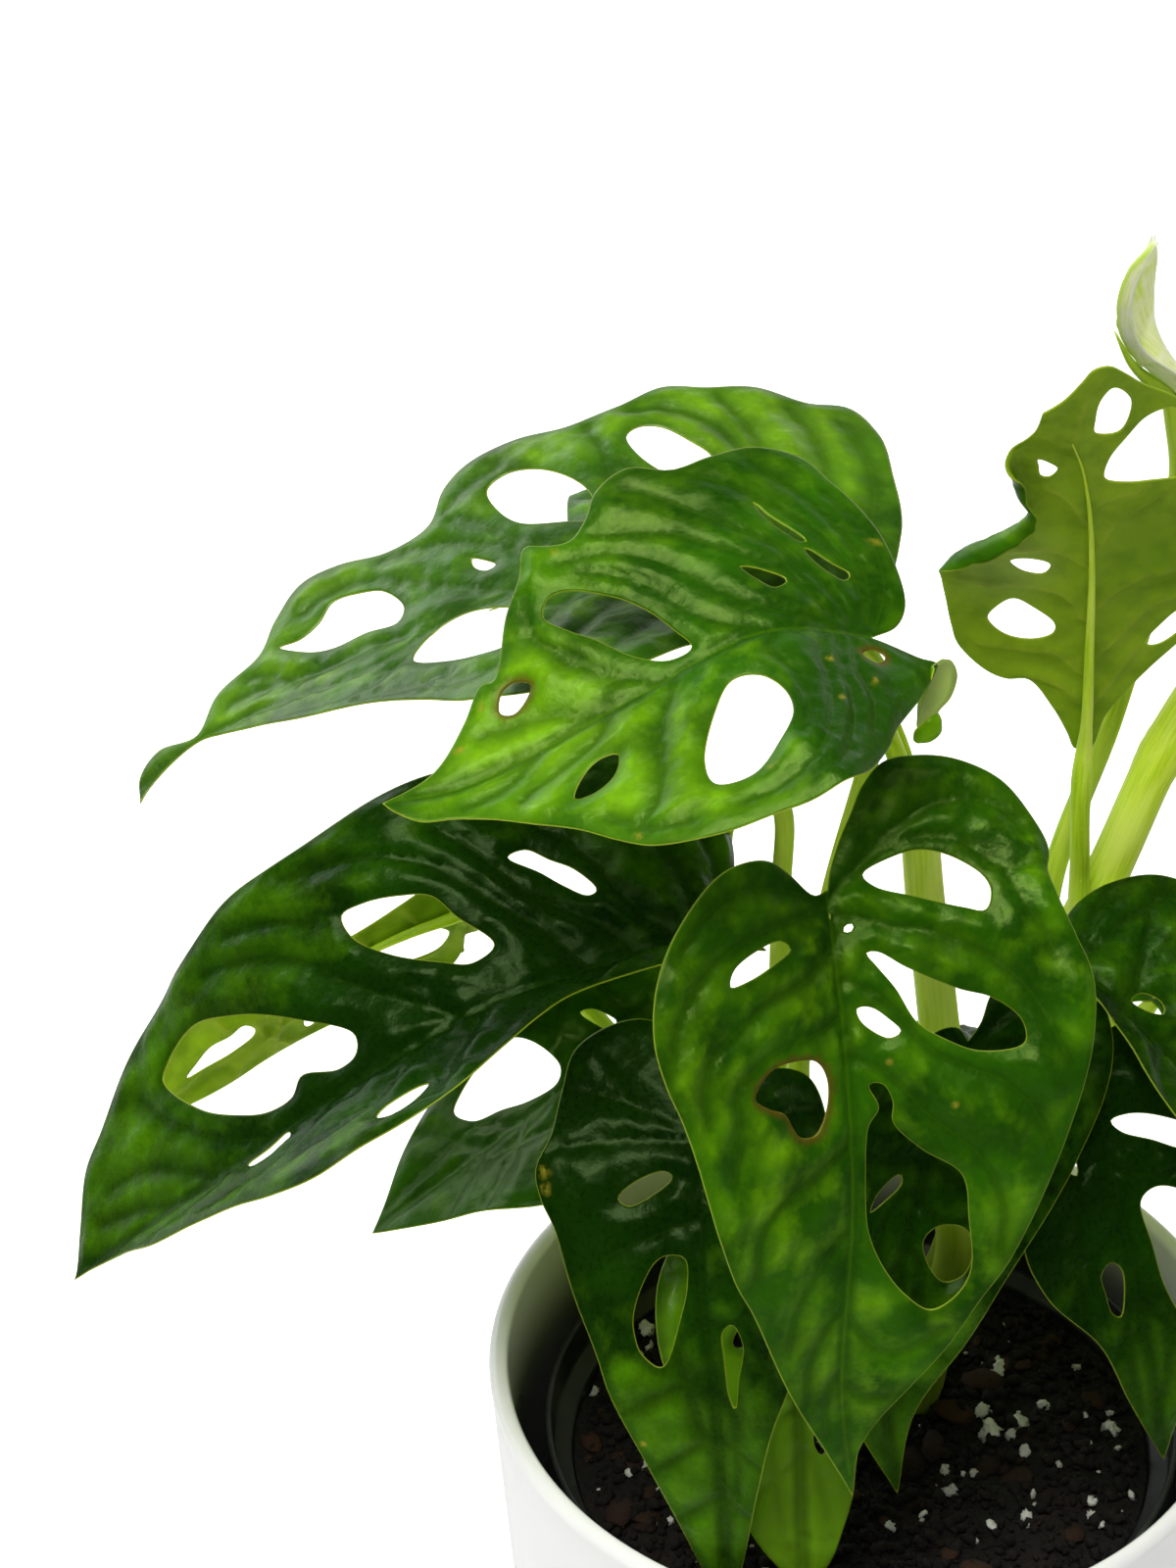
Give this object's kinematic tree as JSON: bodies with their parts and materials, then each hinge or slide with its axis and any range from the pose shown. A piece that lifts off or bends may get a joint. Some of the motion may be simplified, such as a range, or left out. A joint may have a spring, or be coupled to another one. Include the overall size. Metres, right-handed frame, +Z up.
{
  "type": "potted monstera adansonii",
  "caption": "Potted climbing house plant with holed, heart-shaped leaves on long stalks, grown in a nursery pot inside a white planter.",
  "frame": {"origin": "centre of the planter's foot, on the surface that it stands on", "axes": "+Z up, -Y towards the viewer, +X to the viewer's right"},
  "size_m": [0.3325, 0.2233, 0.3911],
  "materials": {
    "leaf": "satin green leaf with lighter patches, sunken veins and a pale margin",
    "dark_leaf": "glossy deep green leaf with sunken veins and a pale margin",
    "young_leaf": "pale whitish green, streaked lengthwise",
    "stem": "smooth yellow-green, faintly streaked lengthwise",
    "glaze": "white gloss glaze",
    "pot_plastic": "thin black plastic, slightly worn",
    "soil": "dark moist peat crumb",
    "perlite": "rough white grains",
    "bark": "rough brown chips"
  },
  "bodies": {
    "root": {"stem_main": "stem", "stem_left": "stem", "stem_right": "stem", "planter": "glaze", "nursery_pot": "pot_plastic", "soil": "soil", "high_left_blade": "leaf", "high_left_petiole": "stem", "light_front_blade": "leaf", "light_front_petiole": "stem", "hanging_front_blade": "leaf", "hanging_front_petiole": "stem", "dark_left_blade": "dark_leaf", "dark_left_petiole": "stem", "low_left_blade": "dark_leaf", "low_left_petiole": "stem", "rim_left_blade": "dark_leaf", "rim_left_petiole": "stem", "rim_front_blade": "dark_leaf", "rim_front_petiole": "stem", "behind_front_blade": "dark_leaf", "behind_front_petiole": "stem", "dark_right_blade": "dark_leaf", "dark_right_petiole": "stem", "rim_right_blade": "dark_leaf", "rim_right_petiole": "stem", "raised_blade": "leaf", "raised_petiole": "stem", "young_blade": "young_leaf", "young_petiole": "stem", "far_left_blade": "leaf", "far_left_petiole": "stem", "right_high_blade": "leaf", "right_high_petiole": "stem", "right_low_blade": "leaf", "right_low_petiole": "stem", "right_back_blade": "leaf", "right_back_petiole": "stem", "back_low_blade": "dark_leaf", "back_low_petiole": "stem", "back_high_blade": "leaf", "back_high_petiole": "stem", "back_right_blade": "leaf", "back_right_petiole": "stem"}
  },
  "joints": []
}
